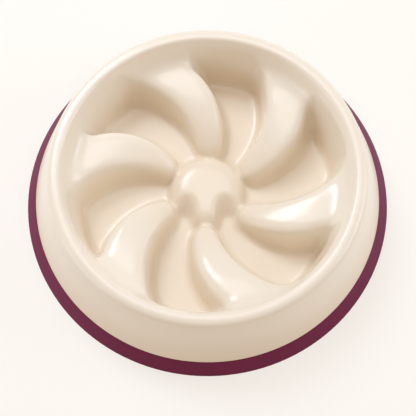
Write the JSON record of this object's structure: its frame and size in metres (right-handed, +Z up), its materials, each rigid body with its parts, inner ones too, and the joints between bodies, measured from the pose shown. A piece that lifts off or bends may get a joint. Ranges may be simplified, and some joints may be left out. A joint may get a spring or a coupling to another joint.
{
  "type": "slow feeder bowl",
  "caption": "Round pet bowl with swept ridges and curved feeding lanes that slow eating, on a flared skirt with a rubber non-slip ring as its foot.",
  "frame": {"origin": "middle of the foot, on the table", "axes": "+Z up out of the bowl's mouth, -Y towards the viewer of the picture, +X to the viewer's right"},
  "size_m": [0.242, 0.242, 0.05],
  "materials": {
    "ivory_plastic": "glossy moulded plastic, warm ivory",
    "plum_rubber": "satin moulded rubber, plum purple"
  },
  "bodies": {
    "root": {"bowl_shell": "ivory_plastic", "non_slip_ring": "plum_rubber"}
  },
  "joints": []
}
